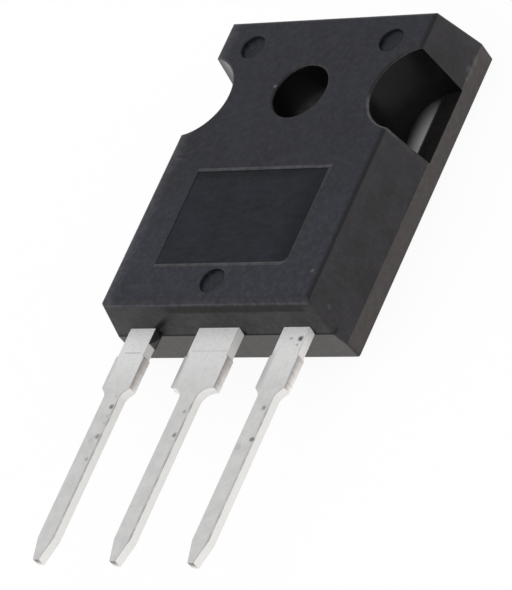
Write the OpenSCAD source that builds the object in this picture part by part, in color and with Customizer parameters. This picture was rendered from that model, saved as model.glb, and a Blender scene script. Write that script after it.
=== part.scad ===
// Power transistor in a moulded package with three leads and a screw hole.
// It lies on its back. The origin is on the screw hole's axis, in the plane of the bare metal back.
// +X runs across the leads, +Y towards the tab end, +Z out of the front face. Sizes are in millimetres.

/* [Moulded body] */
// Width at the widest level, which is the parting line of the sides
body_w = 15.75; // [14.6:0.05:17]
// Length along the leads
body_l = 20.3; // [19:0.05:23]
// Thickness from the metal back to the front face
body_t = 4.9; // [4.6:0.05:6]
// Height of the sides' parting line above the metal back
parting_h = 1.36; // [1.2:0.01:1.6]
// Draft of the sides and the lead end in front of the parting line, in degrees
wall_draft = 9; // [4:0.5:12]
// Draft of the tab end, in degrees
top_draft = 9; // [4:0.5:12]
// Draft of the sides and the lead end behind the parting line, in degrees
base_draft = 5.5; // [1:0.5:9]
// Rounding of the front face's edges along the sides and the tab end
edge_r = 0.3; // [0.1:0.05:0.4]
// Rounding of the front face's edge along the lead end
lead_edge_r = 0.5; // [0.45:0.05:0.8]
// Rounding of the body's upright edges in front of the parting line
front_corner_r = 0.2; // [0.18:0.01:0.28]
// Rounding of the body's upright edges behind the parting line
back_corner_r = 0.14; // [0.08:0.01:0.16]

/* [Screw hole] */
// Diameter of the hole
hole_d = 3.6; // [3:0.05:4.2]
// Distance from the hole's axis to the tab end
hole_to_top = 5.65; // [5:0.05:6.5]
// Rounding of the hole's front rim
hole_rim_r = 0.12; // [0.05:0.01:0.3]

/* [Side notches] */
// Radius of each half-round notch at its floor
notch_floor_r = 2.48; // [1.8:0.01:2.6]
// Draft of the notch wall, in degrees
notch_draft = 4.2; // [2:0.2:10]
// Distance of the notch centres below the screw hole's axis
notch_drop = 0.05; // [0:0.05:0.6]
// Rounding of the notch's front rim
notch_rim_r = 0.15; // [0.05:0.01:0.25]

/* [Ejector-pin marks] */
// Diameter of each round mark
mark_d = 1.58; // [1:0.02:2]
// Depth of each mark
mark_depth = 0.2; // [0.1:0.05:0.4]
// Rounding of each mark's rim
mark_rim_r = 0.06; // [0.02:0.01:0.08]
// Distance from the body's side to the two upper marks
mark_to_side = 2.94; // [2:0.01:3.2]
// Distance from the tab end to the two upper marks
mark_to_top = 2.39; // [1.8:0.01:2.6]
// Distance from the lead end to the lower mark
mark_to_lead_end = 1.85; // [1.5:0.01:2.1]

/* [Marking field] */
// Width of the bare field on the front face
field_w = 9.3; // [6:0.1:11]
// Length of the field along the leads
field_l = 6.25; // [4:0.05:7]
// Depth of the field below the front face
field_depth = 0.02; // [0.02:0.01:0.1]
// Rounding of the field's lower right corner
field_corner_r = 0.45; // [0.1:0.05:1]
// Distance from the lead end to the field
field_to_lead_end = 3; // [2.9:0.05:4]

/* [Metal tab] */
// Thickness of the tab
tab_t = 1.24; // [1:0.01:1.5]
// Plastic beside the tab, on each side
tab_side_border = 1.1; // [0.6:0.05:1.6]
// Plastic between the tab and the tab end
tab_top_border = 1.1; // [0.5:0.05:1.4]
// Plastic between the tab and the lead end
tab_lead_border = 2.75; // [2.6:0.05:3.5]
// Rounding of the tab's corners
tab_corner_r = 0.5; // [0.1:0.05:1]
// Diameter of the tab's own hole, which plastic fills round the screw hole
tab_hole_d = 7.2; // [5.5:0.05:7.4]

/* [Leads] */
// Distance between neighbouring leads
lead_pitch = 5.45; // [5:0.05:6]
// Height of the leads' underside above the metal back
lead_rise = 2.34; // [2.2:0.02:2.6]
// Thickness of the leads
lead_t = 0.6; // [0.4:0.02:0.8]
// Width of the slender part of each lead
lead_w = 1.16; // [0.9:0.02:1.4]
// Length from the lead end of the body to the tips
lead_l = 15; // [12:0.1:20]
// Length from the lead end of the body to the end of the wide shoulders
shoulder_l = 3.83; // [3.2:0.01:4.3]
// Shoulder width of the gate and source leads
outer_shoulder_w = 1.82; // [1.5:0.02:2.4]
// Shoulder width of the drain lead
drain_shoulder_w = 2.86; // [2.4:0.02:3.4]
// How far the cut stubs of the tie bar stand out of each shoulder
stub_w = 0.1; // [0.05:0.01:0.2]
// Length of the cut stubs along the lead
stub_l = 2.1; // [1.2:0.05:2.6]
// Rounding where an outer lead's tapered shoulder meets its slender part
outer_root_r = 0.5; // [0.1:0.05:0.8]
// Rounding where the drain lead's square shoulder meets its slender part
drain_root_r = 0.8; // [0.2:0.05:0.9]
// Length of the pointed tips
tip_l = 1.42; // [0.8:0.02:2]
// Width of the blunt end of each tip
tip_w = 0.4; // [0.2:0.02:0.6]

/* [Mould flash] */
// Length of the thin flash of moulding beside the gate lead, on the side of the drain lead
flash_l = 0.9; // [0.5:0.05:1.5]
// Width of the flash
flash_w = 0.08; // [0.04:0.01:0.1]

/* [Inside the moulding] */
// Slope of the drain lead where it rises from the tab, in degrees
rise_angle = 60; // [50:1:70]
// Inside radius of the drain lead's bends
bend_r = 0.3; // [0.2:0.02:0.4]
// Straight stretch between the tab and the first bend
neck_l = 0.15; // [0.05:0.05:0.3]
// Width of the bond posts of the gate and source leads
post_w = 3; // [2.6:0.05:3.4]
// Length of the bond posts along the leads
post_l = 2; // [1.6:0.05:2.4]
// Plastic between the posts and the lead end
post_border = 0.7; // [0.5:0.05:1]
// Rounding of the posts' corners
post_corner_r = 0.3; // [0.1:0.05:0.6]
// Width of the chip
die_w = 7; // [6:0.1:8]
// Length of the chip along the leads
die_l = 5.6; // [4.4:0.1:6.2]
// Thickness of the chip
die_t = 0.3; // [0.2:0.02:0.4]
// Distance from the tab's lead edge to the chip
die_to_tab_edge = 1.3; // [0.8:0.05:1.6]
// Thickness of the solder under the chip
solder_t = 0.06; // [0.04:0.01:0.1]
// How far the solder stands out round the chip
solder_margin = 0.2; // [0.1:0.05:0.4]

/* [Bond wires] */
// Diameter of the three source wires
source_wire_d = 0.38; // [0.3:0.02:0.5]
// Distance between neighbouring source wires
source_wire_pitch = 0.85; // [0.8:0.05:0.95]
// Distance from the chip's middle to the middle source wire
source_pad_x = 1.4; // [1:0.1:1.8]
// Diameter of the gate wire
gate_wire_d = 0.2; // [0.16:0.02:0.3]
// Distance from the chip's edges to the gate wire's bond
gate_pad_inset = 0.9; // [0.6:0.05:1.2]
// Mean slope of the wires' ends, in degrees
loop_angle = 40; // [34:1:46]
// Width of the source wires' flattened feet
source_foot_w = 0.5; // [0.45:0.01:0.6]
// Width of the gate wire's flattened feet
gate_foot_w = 0.28; // [0.24:0.01:0.4]
// Length of each flattened foot
foot_l = 0.9; // [0.7:0.05:1]
// Thickness of each flattened foot
foot_t = 0.1; // [0.06:0.01:0.14]

/* [Hidden] */
$fn = 64;

// Overrun of cutting shapes past the surfaces that they cut
past = 1;

// Ends of the body along Y
top_y = hole_to_top;
lead_end_y = hole_to_top - body_l;

// Half widths of the body at its widest level, its back and its front face
side_x = body_w / 2;
back_x = side_x - parting_h * tan(base_draft);
front_x = side_x - (body_t - parting_h) * tan(wall_draft);

// Where the end walls meet the back and the front face
lead_end_back_y = lead_end_y + lead_rise * tan(base_draft);
lead_end_front_y = lead_end_y + (body_t - lead_rise) * tan(wall_draft);
top_front_y = top_y - (body_t - parting_h) * tan(top_draft);

// Height of the lead end's parting line above that of the sides
parting_step = lead_rise - parting_h;

// Tab
tab_w = body_w - 2 * tab_side_border;
tab_top_y = top_y - tab_top_border;
tab_lead_y = lead_end_y + tab_lead_border;

// Chip
die_y = tab_lead_y + die_to_tab_edge + die_l / 2;
die_bottom_z = tab_t + solder_t;
die_top_z = die_bottom_z + die_t;

// Bond posts
post_y = lead_end_y + post_border + post_l / 2;
post_top_z = lead_rise + lead_t;

// Drain lead where it rises from the tab: middle lines of the strip at its two bends
strip_low_z = tab_t - lead_t / 2;
strip_high_z = lead_rise + lead_t / 2;
bend_low_y = tab_lead_y - neck_l - (bend_r + lead_t / 2) * tan(rise_angle / 2);
bend_high_y = bend_low_y - (strip_high_z - strip_low_z) / tan(rise_angle);
bend_skew = lead_t / 2 * tan(rise_angle / 2);

// How far past its bond's surface a wire's end is carried before it is cut off there
sunk_margin = 0.02;

// Share of an edge that a rounded corner may take
corner_share = 0.95;

// How much larger a rounding's arc is than one that only touches its edges, so that it crosses them
arc_excess = 0.002;

function direction(from, to) = (to - from) / norm(to - from);
function cross_z(a, b) = a.x * b.y - a.y * b.x;

// Piece of flat area between a corner and the arc that rounds it. A convex corner loses it, a concave one
// gains it. The radius is limited by the shorter of the corner's two edges.
module corner_piece(before, corner, after, wanted_r) {
    back = direction(corner, before);
    ahead = direction(corner, after);
    half_angle = acos(back * ahead) / 2;
    edge = min(norm(before - corner), norm(after - corner));
    r = min(wanted_r, corner_share * edge * tan(half_angle));
    reach = r / tan(half_angle);
    middle = (back + ahead) / norm(back + ahead);
    centre = corner + middle * r / sin(half_angle);
    difference() {
        polygon([corner - middle * r / 10, corner + back * reach, centre, corner + ahead * reach]);
        translate(centre) circle(r * (1 + arc_excess));
    }
}

// Flat outline, given anticlockwise as [x, y, corner radius] points, with each corner rounded
module rounded_outline(points) {
    n = len(points);
    flat = [for (p = points) [p.x, p.y]];
    before = [for (i = [0 : n - 1]) flat[(i + n - 1) % n]];
    after = [for (i = [0 : n - 1]) flat[(i + 1) % n]];
    turns = [for (i = [0 : n - 1]) cross_z(flat[i] - before[i], after[i] - flat[i])];
    difference() {
        union() {
            polygon(flat);
            for (i = [0 : n - 1])
                if (points[i].z > 0 && turns[i] < 0)
                    corner_piece(before[i], flat[i], after[i], points[i].z);
        }
        for (i = [0 : n - 1])
            if (points[i].z > 0 && turns[i] > 0)
                corner_piece(before[i], flat[i], after[i], points[i].z);
    }
}

// Outline that is the mirror image of itself about X = 0, from its right-hand points, bottom first
function mirrored(right) = concat(
    right,
    [for (i = [len(right) - 1 : -1 : 0]) [-right[i].x, right[i].y, right[i].z]]
);

// Body with sharp upright edges: its section across the leads, cut to its section along them
module crossed_sections() {
    right_side = [[back_x, 0, 0], [side_x, parting_h, 0], [front_x, body_t, edge_r]];
    intersection() {
        translate([0, top_y + past, 0])
            rotate([90, 0, 0])
                linear_extrude(body_l + 2 * past)
                    rounded_outline(mirrored(right_side));
        translate([-side_x - past, 0, 0])
            rotate([90, 0, 90])
                linear_extrude(body_w + 2 * past)
                    rounded_outline([
                        [lead_end_back_y, 0, 0],
                        [top_y, 0, 0],
                        [top_y, parting_h, 0],
                        [top_front_y, body_t, edge_r],
                        [lead_end_front_y, body_t, lead_edge_r],
                        [lead_end_y, lead_rise, 0]
                    ]);
    }
}

// What a rounding takes from the edge where two walls meet. The walls are given by their outward normals.
module edge_rounding(place, wall_a, wall_b, r) {
    inward = -(wall_a + wall_b) / norm(wall_a + wall_b);
    along = cross(wall_a, wall_b) / norm(cross(wall_a, wall_b));
    across = cross(along, inward);
    half_angle = 90 - acos(wall_a * wall_b) / 2;
    reach = body_t * [cos(half_angle), sin(half_angle)];
    multmatrix([
        [inward.x, across.x, along.x, place.x],
        [inward.y, across.y, along.y, place.y],
        [inward.z, across.z, along.z, place.z]
    ])
        translate([0, 0, -body_t])
            linear_extrude(2 * body_t)
                corner_piece([reach.x, -reach.y], [0, 0], reach, r);
}

// Roundings of the upright edges on one side. The edges bend where the walls do, at the parting lines.
module upright_roundings(side) {
    side_front = [side * cos(wall_draft), 0, sin(wall_draft)];
    side_back = [side * cos(base_draft), 0, -sin(base_draft)];
    lead_front = [0, -cos(wall_draft), sin(wall_draft)];
    lead_back = [0, -cos(base_draft), -sin(base_draft)];
    top_front = [0, cos(top_draft), sin(top_draft)];
    top_back = [0, 1, 0];
    lead_bend = [side * (side_x - parting_step * tan(wall_draft)), lead_end_y, lead_rise];
    side_bend = [side * side_x, lead_end_y + parting_step * tan(base_draft), parting_h];
    top_bend = [side * side_x, top_y, parting_h];
    edge_rounding(lead_bend, side_front, lead_front, front_corner_r);
    edge_rounding(lead_bend, side_front, lead_back, (front_corner_r + back_corner_r) / 2);
    edge_rounding(side_bend, side_back, lead_back, back_corner_r);
    edge_rounding(top_bend, side_front, top_front, front_corner_r);
    edge_rounding(top_bend, side_back, top_back, back_corner_r);
}

// Body before any cut
module mould_blank() {
    difference() {
        crossed_sections();
        upright_roundings(-1);
        upright_roundings(1);
    }
    gate_flash();
}

// Flash that the moulding leaves beside the gate lead. It starts just inside the body's drafted wall.
module gate_flash() {
    root_l = 2 * lead_t * tan(wall_draft);
    translate([outer_shoulder_w / 2 - lead_pitch, lead_end_y - flash_l, lead_rise])
        linear_extrude(lead_t)
            rounded_outline([
                [0, 0, 0],
                [flash_w, 0, flash_w / 2],
                [flash_w, flash_l + root_l, 0],
                [0, flash_l + root_l, 0]
            ]);
}

// Screw hole with its rounded front rim
module screw_hole() {
    translate([0, 0, -past]) cylinder(h = body_t + 2 * past, d = hole_d);
    rotate_extrude()
        difference() {
            translate([0, body_t - hole_rim_r]) square([hole_d / 2 + hole_rim_r, hole_rim_r + past]);
            translate([hole_d / 2 + hole_rim_r, body_t - hole_rim_r]) circle(hole_rim_r);
        }
}

// Round pocket in the front face, with a flat floor and a rounded rim
module round_pocket(floor_r, front_r, depth, rim_r) {
    rotate_extrude()
        rounded_outline([
            [0, body_t - depth, 0],
            [floor_r, body_t - depth, 0],
            [front_r, body_t, rim_r],
            [front_r + past, body_t, 0],
            [front_r + past, body_t + past, 0],
            [0, body_t + past, 0]
        ]);
}

// Half-round notch in one side, from the tab's level to the front
module side_notch(side) {
    depth = body_t - tab_t;
    front_r = notch_floor_r + depth * tan(notch_draft);
    translate([side * side_x, -notch_drop, 0]) round_pocket(notch_floor_r, front_r, depth, notch_rim_r);
}

// Round marks that the ejector pins leave in the front face
module ejector_marks() {
    upper_x = side_x - mark_to_side;
    upper_y = top_y - mark_to_top;
    for (place = [[-upper_x, upper_y], [upper_x, upper_y], [0, lead_end_y + mark_to_lead_end]])
        translate([place.x, place.y, 0]) round_pocket(mark_d / 2, mark_d / 2, mark_depth, mark_rim_r);
}

// Shallow bare field in the front face
module marking_field() {
    low_y = lead_end_y + field_to_lead_end;
    translate([0, 0, body_t - field_depth])
        linear_extrude(field_depth + past)
            rounded_outline([
                [-field_w / 2, low_y, 0],
                [field_w / 2, low_y, field_corner_r],
                [field_w / 2, low_y + field_l, 0],
                [-field_w / 2, low_y + field_l, 0]
            ]);
}

// Flat pattern of a lead outside and just inside the body. It runs along -Y from the body's lead end.
// inner holds the points of its end inside the body. taper_l is the length of the shoulder's slanted end.
module lead_pattern(shoulder_w, taper_l, root_r, inner) {
    stub_x = shoulder_w / 2 + stub_w;
    outer = [
        [tip_w / 2, -lead_l, 0],
        [lead_w / 2, tip_l - lead_l, 0],
        [lead_w / 2, -shoulder_l - taper_l, root_r],
        [stub_x, -shoulder_l, 0],
        [stub_x, stub_l - shoulder_l, 0],
        [shoulder_w / 2, stub_l - shoulder_l, 0]
    ];
    translate([0, lead_end_y, lead_rise])
        linear_extrude(lead_t)
            rounded_outline(mirrored(concat(outer, inner)));
}

// Gate or source lead, with its bond post inside the body
module outer_lead(side) {
    taper_l = outer_shoulder_w / 2 + stub_w - lead_w / 2;
    post = [
        [outer_shoulder_w / 2, post_border, 0],
        [post_w / 2, post_border, post_corner_r],
        [post_w / 2, post_border + post_l, post_corner_r]
    ];
    translate([side * lead_pitch, 0, 0]) lead_pattern(outer_shoulder_w, taper_l, outer_root_r, post);
}

// Strip that rises from the tab's top face to the level of the leads, drawn in its side view
module drain_rise() {
    half = lead_t / 2;
    translate([-drain_shoulder_w / 2, 0, 0])
        rotate([90, 0, 90])
            linear_extrude(drain_shoulder_w)
                rounded_outline([
                    [bend_low_y - bend_skew, strip_low_z - half, bend_r + lead_t],
                    [tab_lead_y, strip_low_z - half, 0],
                    [tab_lead_y, strip_low_z + half, 0],
                    [bend_low_y + bend_skew, strip_low_z + half, bend_r],
                    [bend_high_y + bend_skew, strip_high_z + half, bend_r + lead_t],
                    [lead_end_y, strip_high_z + half, 0],
                    [lead_end_y, strip_high_z - half, 0],
                    [bend_high_y - bend_skew, strip_high_z - half, bend_r]
                ]);
}

// Tab and drain lead, one stamped piece of two thicknesses
module drain_solid() {
    right_corners = [[tab_w / 2, tab_lead_y, tab_corner_r], [tab_w / 2, tab_top_y, tab_corner_r]];
    linear_extrude(tab_t)
        difference() {
            rounded_outline(mirrored(right_corners));
            circle(d = tab_hole_d);
        }
    drain_rise();
    lead_pattern(drain_shoulder_w, 0, drain_root_r, [[drain_shoulder_w / 2, 0, 0]]);
}

// Solder layer
module solder_solid() {
    size = [die_w + 2 * solder_margin, die_l + 2 * solder_margin, solder_t];
    translate([-size.x / 2, die_y - size.y / 2, tab_t]) cube(size);
}

// Chip
module die_solid() {
    translate([-die_w / 2, die_y - die_l / 2, die_bottom_z]) cube([die_w, die_l, die_t]);
}

// Round wire that arches from the chip at one place to a bond post at another, in one arc of a circle.
// Each end runs into the metal that it is bonded to, and has a flat foot there.
module wire_arch(from, to, d, foot_w) {
    plan = to - from;
    rise = post_top_z - die_top_z;
    lean = atan2(rise, norm(plan));
    arch_r = norm([norm(plan), rise]) / (2 * sin(loop_angle));
    chip_slope = loop_angle + lean;
    post_slope = loop_angle - lean;
    chip_sunk = (d / 2 + sunk_margin) / tan(chip_slope) / arch_r;
    post_sunk = (d / 2 + sunk_margin) / tan(post_slope) / arch_r;
    centre = [norm(plan), rise] / 2 + arch_r * cos(loop_angle) * [sin(lean), -cos(lean)];
    translate([from.x, from.y, die_top_z])
        rotate([0, 0, atan2(plan.y, plan.x)]) {
            translate([centre.x, 0, centre.y])
                rotate([90, 0, 0])
                    rotate_extrude(
                        start = 90 - post_slope - post_sunk * 180 / PI,
                        angle = chip_slope + post_slope + (chip_sunk + post_sunk) * 180 / PI
                    )
                        translate([arch_r, 0]) circle(d = d);
            wire_foot([0, 0, 0], foot_w);
            wire_foot([norm(plan), 0, rise], foot_w);
        }
}

// Foot of a wire, flattened on the metal and rounded at its corners
module wire_foot(place, foot_w) {
    half = [foot_l, foot_w] / 2;
    translate(place)
        linear_extrude(foot_t)
            rounded_outline(mirrored([[half.x, -half.y, half.y / 2], [half.x, half.y, half.y / 2]]));
}

// Everything at and below the level of the chip's top face, inside the body
module below_chip_top() {
    translate([-side_x, lead_end_y, 0]) cube([body_w, body_l, die_top_z]);
}

// Source wire, counted from 0, with its feet flat on the chip and on the post
module source_wire_solid(index) {
    shift = [(index - 1) * source_wire_pitch, 0];
    pad = [source_pad_x, die_y] + shift;
    post = [lead_pitch, post_y] + shift;
    difference() {
        wire_arch(pad, post, source_wire_d, source_foot_w);
        below_chip_top();
        outer_lead(1);
    }
}

// Gate wire, with its feet flat on the chip and on the post
module gate_wire_solid() {
    pad = [gate_pad_inset - die_w / 2, die_y - die_l / 2 + gate_pad_inset];
    difference() {
        wire_arch(pad, [-lead_pitch, post_y], gate_wire_d, gate_foot_w);
        below_chip_top();
        outer_lead(-1);
    }
}

module mould_body() color([0.2, 0.2, 0.22])
    difference() {
        mould_blank();
        screw_hole();
        side_notch(-1);
        side_notch(1);
        ejector_marks();
        marking_field();
        drain_solid();
        outer_lead(-1);
        outer_lead(1);
        solder_solid();
        die_solid();
        for (index = [0 : 2])
            source_wire_solid(index);
        gate_wire_solid();
    }

module drain_frame() color([0.8, 0.8, 0.79]) drain_solid();

module gate_lead() color([0.8, 0.8, 0.79]) outer_lead(-1);

module source_lead() color([0.8, 0.8, 0.79]) outer_lead(1);

module die_solder() color([0.6, 0.6, 0.62]) solder_solid();

module silicon_die() color([0.35, 0.37, 0.42]) die_solid();

module source_wire(index) color([0.85, 0.86, 0.88]) source_wire_solid(index);

module gate_wire() color([0.85, 0.86, 0.88]) gate_wire_solid();

mould_body();
drain_frame();
gate_lead();
source_lead();
die_solder();
silicon_die();
source_wire(0);  // source_wire_1
source_wire(1);  // source_wire_2
source_wire(2);  // source_wire_3
gate_wire();
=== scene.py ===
import math

import bmesh
import bpy
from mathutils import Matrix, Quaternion, Vector


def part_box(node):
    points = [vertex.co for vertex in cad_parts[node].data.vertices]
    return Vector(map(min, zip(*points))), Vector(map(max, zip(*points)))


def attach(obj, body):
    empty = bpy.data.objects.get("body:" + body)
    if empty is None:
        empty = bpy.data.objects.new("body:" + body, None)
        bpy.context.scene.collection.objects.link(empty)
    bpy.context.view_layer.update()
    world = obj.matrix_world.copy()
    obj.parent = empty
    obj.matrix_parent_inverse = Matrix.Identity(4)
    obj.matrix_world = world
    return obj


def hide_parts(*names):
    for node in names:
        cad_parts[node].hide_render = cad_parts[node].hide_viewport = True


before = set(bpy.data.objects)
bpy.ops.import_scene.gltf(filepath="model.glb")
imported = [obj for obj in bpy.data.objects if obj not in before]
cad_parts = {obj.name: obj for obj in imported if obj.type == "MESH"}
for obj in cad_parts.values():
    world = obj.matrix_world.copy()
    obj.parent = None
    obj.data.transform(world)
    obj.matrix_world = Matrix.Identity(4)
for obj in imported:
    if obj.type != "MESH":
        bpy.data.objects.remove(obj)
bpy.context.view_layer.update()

# Lengths below are in millimetres, and MM turns them into the scene's metres
MM = 0.001

# Camera: where it stands, the point it looks at, its turn about the line of sight, focal length and range
CAMERA_PLACE = Vector((206.53, -155.60, 197.01))
CAMERA_AIM = Vector((1.047, -12.047, 2.46))
CAMERA_ROLL_DEG = 42.18
FOCAL_LENGTH_PX = 5887
IMAGE_HEIGHT_PX = 590
SENSOR_MM = 36
CAMERA_NEAR = 10
CAMERA_FAR = 10000

# Places read from the solids
BODY_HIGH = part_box("mould_body")[1] / MM
GATE_LOW, GATE_HIGH = (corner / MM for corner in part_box("gate_lead"))
SOURCE_LOW, SOURCE_HIGH = (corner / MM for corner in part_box("source_lead"))
LEAD_PITCH = (SOURCE_LOW.x + SOURCE_HIGH.x) / 2
LEAD_TOP = GATE_HIGH.z
LEAD_BOTTOM = GATE_LOW.z
TIP_Y = GATE_LOW.y

# Sizes and places of the moulding that its box doesn't give
BODY_L = 20.3
LEAD_END_Y = BODY_HIGH.y - BODY_L
PARTING_Z = 1.36
TAB_TOP = 1.24
NOTCH_Y = -0.05
NOTCH_FRONT_R = 2.74
WALL_SLOPE = math.tan(math.radians(9))
HOLE_R = 1.8
FLASH_L = 0.9
MARK_R = 0.79
MARK_PLACES = (
    Vector((-4.935, 3.26)),
    Vector((4.935, 3.26)),
    Vector((0.0, LEAD_END_Y + 1.85)),
)
FIELD_HALF_W = 4.65
FIELD_L = 6.25
FIELD_DEPTH = 0.02
FIELD_CORNER_R = 0.45
FIELD_LOW_Y = LEAD_END_Y + 3.0
FIELD_HIGH_Y = FIELD_LOW_Y + FIELD_L
FIELD_FLOOR = BODY_HIGH.z - FIELD_DEPTH

# Wide parts of the leads: their length, length of the cut stubs, where each lead lies across, half width over
# the stubs, and where the stubs start and end along the leads
SHOULDER_L = 3.83
STUB_L = 2.1
LEAD_X = {"gate_lead": -LEAD_PITCH, "drain_frame": 0.0, "source_lead": LEAD_PITCH}
STUB_X = {"gate_lead": 1.01, "drain_frame": 1.53, "source_lead": 1.01}
STUB_LOW_Y = LEAD_END_Y - SHOULDER_L
STUB_HIGH_Y = STUB_LOW_Y + STUB_L

# What tells faces apart: distances to a surface, and parts of the normal along an axis
NEAR = 0.01
NOTCH_EDGE_DEPTH = 0.1
MARK_EDGE_DEPTH = 0.04
FIELD_TOLERANCE = 0.008
CUT_REACH = 0.03
BODY_MARGIN = 1
FACING = 0.6
FACING_UP = 0.9
FACING_DOWN = -0.02
CUT_FACING = 0.75
UPRIGHT = 0.3

# Rounded edges of the stamped metal
EDGE_BEVEL = 0.06
BEVEL_SEGMENTS = 3
SHARP_ANGLE = math.radians(30)
FLAT_ANGLE = math.radians(0.5)
WELD_DISTANCE = 0.0005

# Raised rim of the marking field: distance from the field, width, height, share of the height on the right,
# how far it is sunk into the front, the steps of its corner and of its arched section, and its sharp edges
RIM_GAP = 0.01
RIM_W = 0.20
RIM_H = 0.024
RIM_SIDE_SHARE = 0.25
RIM_SUNK = 0.03
RIM_CORNER_STEPS = 8
RIM_ARCH_STEPS = 6
RIM_SHARP_ANGLE = math.radians(50)

# Wear on the leads' front faces: place across and along the leads, radius, darkness
WEAR_SPOTS = (
    (6.09, -15.32, 0.24, 0.95),
    (5.43, -15.31, 0.14, 0.45),
    (6.03, -15.72, 0.12, 0.45),
    (6.45, -19.17, 0.10, 0.40),
    (5.71, -19.80, 0.20, 0.65),
    (5.87, -21.83, 0.22, 0.80),
    (5.15, -22.30, 0.32, 0.22),
    (-5.11, -19.03, 0.13, 0.25),
    (-5.11, -19.74, 0.21, 0.85),
    (-5.09, -20.35, 0.15, 0.25),
    (-5.07, -20.80, 0.15, 0.20),
    (-5.12, -21.68, 0.24, 0.65),
    (-5.45, -21.95, 0.30, 0.18),
    (-5.14, -23.17, 0.17, 0.45),
    (0.27, -20.06, 0.17, 0.45),
    (0.33, -21.57, 0.22, 0.70),
)
# How far the spots' outlines are pushed about
SPOT_SHIFT = 0.10
# Fine lines across the leads: first and last place across, place along, darkness
WEAR_LINES = (
    (-5.91, -4.82, -16.18, 0.35),
    (-1.15, 1.27, -16.08, 0.18),
    (-5.40, -4.90, -21.68, 0.35),
)
WEAR_LINE_HALF_W = 0.02
# Painted shade on the rolled-over left edges of the cut stubs: lead, half width, darkness
ROLLOVER_SHADES = (("gate_lead", 0.24, 0.2), ("drain_frame", 0.32, 0.5), ("source_lead", 0.50, 0.35))
# Painted shade along the right-hand edge of each slender lead: from where to where beside the lead's middle
RIGHT_EDGE_SHADE = (0.50, 0.60)

# Pale chips and rubbed specks of the moulding: place, radius, strength
PALE_SPOTS = (
    ((-1.94, 0.37, 4.88), 0.15, 0.45),
    ((6.80, -12.30, 4.86), 0.17, 0.28),
    ((7.62, -13.60, 3.42), 0.20, 0.18),
    ((7.86, 4.55, 1.30), 0.30, 0.18),
    ((7.86, 4.30, 1.26), 0.26, 0.22),
    ((7.86, 3.76, 1.34), 0.36, 0.22),
    ((7.86, 3.20, 1.32), 0.20, 0.20),
)
# Pale scuffs of the front face near its left edge: start, end, half width
PALE_SCUFFS = (
    ((-7.20, -4.05, 4.9), (-5.90, -4.15, 4.9), 0.10),
    ((-7.20, -4.40, 4.9), (-5.70, -4.55, 4.9), 0.10),
    ((-7.10, -5.30, 4.9), (-6.50, -5.40, 4.9), 0.12),
)
SCUFF_WEAR = 0.16
# Pale margins of the front, the left one a painted highlight: the stretch over which each fades, and its
# strength
LEFT_MARGIN_X = (-7.4, -6.2)
LEFT_MARGIN_HIGHLIGHT = 0.24
TAB_MARGIN_Y = (4.75, 5.15)
TAB_MARGIN_WEAR = 0.14
# Strengths of the other pale places: painted highlights on the rows of the field's rim and on the rim of the
# right-hand notch, painted light on the deep part of the screw hole, which fades over HOLE_GLOW_Z, and the
# pale corner of the flash.
# PALE_TONE is the tone of them all
RIM_ROW_HIGHLIGHT = 0.16
NOTCH_RIM_HIGHLIGHT = 0.34
HOLE_GLOW = 0.9
HOLE_GLOW_Z = (1.7, 3.0)
FLASH_WEAR = 0.65
PALE_TONE = 0.30
# Dark marks of the lead-end wall: a smear rising beside the gate lead, then painted contact shadows where the
# leads meet the wall. Start, end and half width
WALL_SMEAR_AND_SHADOWS = (
    ((-4.55, -14.57, 2.85), (-2.80, -14.41, 3.95), 0.26),
    ((-4.50, -14.62, 2.60), (-4.10, -14.62, 2.60), 0.25),
    ((1.45, -14.63, 2.50), (1.85, -14.63, 2.50), 0.24),
    ((6.35, -14.63, 2.50), (6.60, -14.63, 2.50), 0.20),
)
# Shades of the lead-end wall along its parting line and under its front edge: their strength, and from where
# to where across the body the one under the edge lies
SHADE_STRENGTH = 0.5
EDGE_SHADE_X = (-2.5, 6.3)
# Tone of the moulding's dark places: smear and painted shade of the lead-end wall, darker margins of the
# marking field
DARKENING_TONE = 0.001

# Noise of the moulding compound, in waves per millimetre
CLOUD_SCALE = 0.5
MOTTLE_SCALE = 3.0
GRAIN_SCALE = 9.0
SPECK_SCALE = 4.2
STREAK_SCALES = (1.1, 3.2, 3.2)
# Its look: tones as shares of the compound's own tone, strengths, and changes of roughness
BASE_SHARES = (0.5, 0.9)
MOTTLE_SHARE = 2.6
MOTTLE_STRENGTH = 0.6
GRAIN_SHARE = 2.8
GRAIN_STRENGTH = 0.4
STREAK_SHARE = 2.8
SPECK_SHARE = 4
SPECK_STRENGTH = 0.28
ROUGHNESS_SPREAD = 0.06
DARKENING_ROUGHNESS = 0.4
# Its rounded edges, all of them, those along the right side with painted shade and those along the lead end
# with a
# painted highlight: upward part of the normal, tone as a share of the compound's own tone, tint and strength
EDGE_NORMAL_Z = (0.35, 0.94)
EDGE_SHARE = 1.15
EDGE_TINT = (1.0, 0.97, 1.1)
EDGE_STRENGTH = 0.7
SHADED_NORMAL_Z = (0.50, 0.74)
SHADED_SHARE = 0.28
SHADED_TINT = (1.05, 0.95, 1.1)
SHADED_STRENGTH = 0.58
EDGE_HIGHLIGHT_SHARE = 3.4
EDGE_HIGHLIGHT_TINT = (0.88, 0.94, 1.18)
EDGE_HIGHLIGHT_STRENGTH = 0.38
# Stretch over which a finish goes from its tone at the lead end to that at the tab end
FADE_Y = (-12.0, -4.0)
# Tint of the notch pockets and ledge and of the screw hole
POCKET_TINT = (1.1, 1.0, 1.0)

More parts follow.
